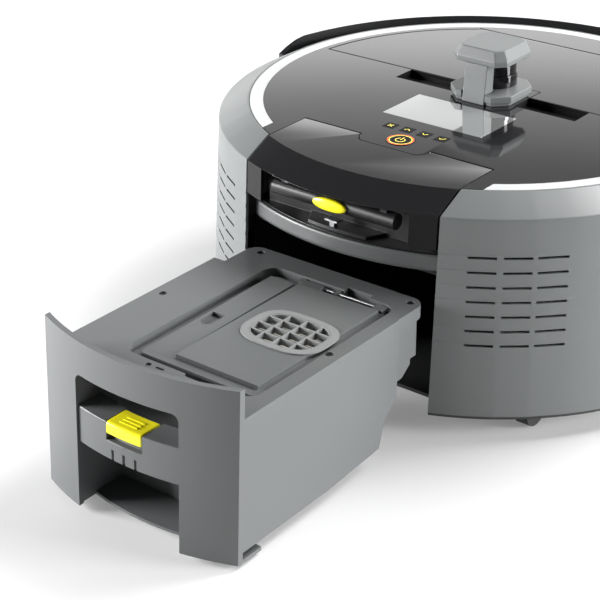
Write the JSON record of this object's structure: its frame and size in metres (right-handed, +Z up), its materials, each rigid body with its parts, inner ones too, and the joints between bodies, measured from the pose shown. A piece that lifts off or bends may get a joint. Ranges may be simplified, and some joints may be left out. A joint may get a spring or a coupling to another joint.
{
  "type": "robotic floor vacuum",
  "caption": "Round commercial robotic floor vacuum with a pull-out dust drawer, hinged lids, sensor tower, bumper and driven wheels.",
  "frame": {"origin": "on the floor under the body's vertical axis", "axes": "+Z up, +Y towards the bumper, the way it drives; the drawer pulls out along -Y"},
  "size_m": [0.6286, 0.9198, 0.322],
  "materials": {
    "shell_grey": "fine satin moulded plastic",
    "drawer_grey": "satin moulded plastic",
    "deck_black": "high gloss black",
    "trim_black": "satin black",
    "light_white": "milky diffuser",
    "screen": "smooth glass",
    "yellow": "gloss yellow",
    "board_green": "solder resist",
    "steel": "ground steel",
    "brass": "plated",
    "filter_paper": "pleated paper",
    "inner_dark": "moulded plastic",
    "battery_shell": "moulded plastic",
    "motor_metal": "cast",
    "hub_grey": "moulded plastic",
    "rubber": "moulded rubber",
    "bristle": "bristle rows"
  },
  "bodies": {
    "main_body": {"base_pan": "inner_dark", "side_panel_left": "shell_grey", "side_panel_right": "shell_grey", "top_deck": "deck_black", "light_ring": "light_white", "display_screen": "screen", "control_board": "board_green", "rear_band": "shell_grey", "recess_shelf": "trim_black", "striker_plate": "steel", "exhaust_filter": "filter_paper", "battery_pack": "battery_shell", "bay_tray": "inner_dark", "bay_wall_left": "trim_black", "bay_wall_right": "trim_black", "bay_ceiling": "trim_black", "bay_end_wall": "trim_black", "port_seal": "rubber", "suction_duct": "inner_dark", "brush_housing": "inner_dark", "fan_housing": "inner_dark", "fan_motor": "motor_metal", "tower_base": "shell_grey", "tower_bracket": "shell_grey", "lidar_housing": "trim_black", "charge_contacts": "brass", "side_brush_motors": "motor_metal", "hinge_pins": "steel"},
    "drawer": {"drawer_front": "drawer_grey", "drawer_tub": "drawer_grey", "tub_top": "drawer_grey", "drawer_grip": "drawer_grey", "tub_screws": "steel", "container_hinge_pin": "steel"},
    "drawer_latch": {"drawer_latch": "yellow"},
    "container_lid": {"container_lid": "drawer_grey", "filter_grid": "drawer_grey", "pleated_filter": "filter_paper"},
    "service_lid": {"service_lid": "deck_black", "lid_grip": "trim_black"},
    "lid_button": {"lid_button": "yellow"},
    "front_hatch": {"front_hatch": "deck_black"},
    "bumper": {"bumper": "trim_black"},
    "key_cancel": {"key_cancel": "trim_black"},
    "key_up": {"key_up": "trim_black"},
    "key_down": {"key_down": "trim_black"},
    "key_confirm": {"key_confirm": "trim_black"},
    "power_button": {"power_button": "trim_black"},
    "lidar_rotor": {"lidar_rotor": "trim_black"},
    "arm_left": {"wheel_arm_left": "inner_dark"},
    "arm_right": {"wheel_arm_right": "inner_dark"},
    "wheel_left": {"wheel_hub_left": "hub_grey", "wheel_tyre_left": "rubber"},
    "wheel_right": {"wheel_hub_right": "hub_grey", "wheel_tyre_right": "rubber"},
    "caster_front": {"caster_fork_front": "hub_grey"},
    "caster_left": {"caster_fork_left": "hub_grey"},
    "caster_right": {"caster_fork_right": "hub_grey"},
    "caster_wheel_front": {"caster_wheel_front": "rubber"},
    "caster_wheel_left": {"caster_wheel_left": "rubber"},
    "caster_wheel_right": {"caster_wheel_right": "rubber"},
    "roller_brush": {"roller_brush": "bristle"},
    "side_brush_left": {"side_brush_left": "bristle"},
    "side_brush_right": {"side_brush_right": "bristle"},
    "fan_impeller": {"fan_impeller": "motor_metal"}
  },
  "joints": [
    {"name": "drawer_slide", "type": "slide", "parent": "main_body", "child": "drawer", "axis": [0, -1, 0], "range_m": [-0.2996, 0]},
    {"name": "latch_press", "type": "slide", "parent": "drawer", "child": "drawer_latch", "axis": [0, 0, -1], "range_m": [0, 0.005], "stiffness_N_per_m": 1500, "springref_m": -0.002},
    {"name": "container_lid_hinge", "type": "hinge", "parent": "drawer", "child": "container_lid", "pos_m": [0, -0.3182, 0.149], "axis": [-1, 0, 0], "range_deg": [0, 90]},
    {"name": "service_lid_hinge", "type": "hinge", "parent": "main_body", "child": "service_lid", "pos_m": [0, -0.177, 0.258], "axis": [-1, 0, 0], "range_deg": [0, 75]},
    {"name": "lid_button_press", "type": "slide", "parent": "service_lid", "child": "lid_button", "axis": [0, 1, 0], "range_m": [0, 0.003], "stiffness_N_per_m": 1500, "springref_m": -0.002},
    {"name": "front_hatch_hinge", "type": "hinge", "parent": "main_body", "child": "front_hatch", "pos_m": [0, 0.201, 0.258], "axis": [-1, 0, 0], "range_deg": [0, 85]},
    {"name": "bumper_press", "type": "slide", "parent": "main_body", "child": "bumper", "axis": [0, -1, 0], "range_m": [0, 0.006], "stiffness_N_per_m": 2500, "springref_m": -0.003},
    {"name": "key_cancel_press", "type": "slide", "parent": "main_body", "child": "key_cancel", "axis": [0, 0, -1], "range_m": [0, 0.001], "stiffness_N_per_m": 1200, "springref_m": -0.0008},
    {"name": "key_up_press", "type": "slide", "parent": "main_body", "child": "key_up", "axis": [0, 0, -1], "range_m": [0, 0.001], "stiffness_N_per_m": 1200, "springref_m": -0.0008},
    {"name": "key_down_press", "type": "slide", "parent": "main_body", "child": "key_down", "axis": [0, 0, -1], "range_m": [0, 0.001], "stiffness_N_per_m": 1200, "springref_m": -0.0008},
    {"name": "key_confirm_press", "type": "slide", "parent": "main_body", "child": "key_confirm", "axis": [0, 0, -1], "range_m": [0, 0.001], "stiffness_N_per_m": 1200, "springref_m": -0.0008},
    {"name": "power_press", "type": "slide", "parent": "main_body", "child": "power_button", "axis": [0, 0, -1], "range_m": [0, 0.0015], "stiffness_N_per_m": 1500, "springref_m": -0.001},
    {"name": "lidar_spin", "type": "hinge", "parent": "main_body", "child": "lidar_rotor", "pos_m": [0, 0.018, 0.29], "axis": [0, 0, 1], "continuous": true},
    {"name": "arm_left_droop", "type": "hinge", "parent": "main_body", "child": "arm_left", "pos_m": [-0.204, 0.084, 0.076], "axis": [1, 0, 0], "range_deg": [0, 12], "stiffness_Nm_per_rad": 8, "springref_deg": 20.05},
    {"name": "wheel_left_spin", "type": "hinge", "parent": "arm_left", "child": "wheel_left", "pos_m": [-0.233, 0, 0.07], "axis": [1, 0, 0], "continuous": true},
    {"name": "arm_right_droop", "type": "hinge", "parent": "main_body", "child": "arm_right", "pos_m": [0.204, 0.084, 0.076], "axis": [1, 0, 0], "range_deg": [0, 12], "stiffness_Nm_per_rad": 8, "springref_deg": 20.05},
    {"name": "wheel_right_spin", "type": "hinge", "parent": "arm_right", "child": "wheel_right", "pos_m": [0.233, 0, 0.07], "axis": [1, 0, 0], "continuous": true},
    {"name": "caster_front_swivel", "type": "hinge", "parent": "main_body", "child": "caster_front", "pos_m": [0, 0.235, 0.045], "axis": [0, 0, 1], "continuous": true},
    {"name": "caster_front_spin", "type": "hinge", "parent": "caster_front", "child": "caster_wheel_front", "pos_m": [0, 0.223, 0.02], "axis": [1, 0, 0], "continuous": true},
    {"name": "caster_left_swivel", "type": "hinge", "parent": "main_body", "child": "caster_left", "pos_m": [-0.193, -0.186, 0.045], "axis": [0, 0, 1], "continuous": true},
    {"name": "caster_left_spin", "type": "hinge", "parent": "caster_left", "child": "caster_wheel_left", "pos_m": [-0.193, -0.198, 0.02], "axis": [1, 0, 0], "continuous": true},
    {"name": "caster_right_swivel", "type": "hinge", "parent": "main_body", "child": "caster_right", "pos_m": [0.193, -0.186, 0.045], "axis": [0, 0, 1], "continuous": true},
    {"name": "caster_right_spin", "type": "hinge", "parent": "caster_right", "child": "caster_wheel_right", "pos_m": [0.193, -0.198, 0.02], "axis": [1, 0, 0], "continuous": true},
    {"name": "roller_spin", "type": "hinge", "parent": "main_body", "child": "roller_brush", "pos_m": [0, 0.13, 0.034], "axis": [1, 0, 0], "continuous": true},
    {"name": "side_brush_left_spin", "type": "hinge", "parent": "main_body", "child": "side_brush_left", "pos_m": [-0.188, 0.198, 0.03], "axis": [0, 0, 1], "continuous": true},
    {"name": "side_brush_right_spin", "type": "hinge", "parent": "main_body", "child": "side_brush_right", "pos_m": [0.188, 0.198, 0.03], "axis": [0, 0, 1], "continuous": true},
    {"name": "fan_spin", "type": "hinge", "parent": "main_body", "child": "fan_impeller", "pos_m": [0.05, -0.1204, 0.2], "axis": [0, 0, 1], "continuous": true}
  ]
}
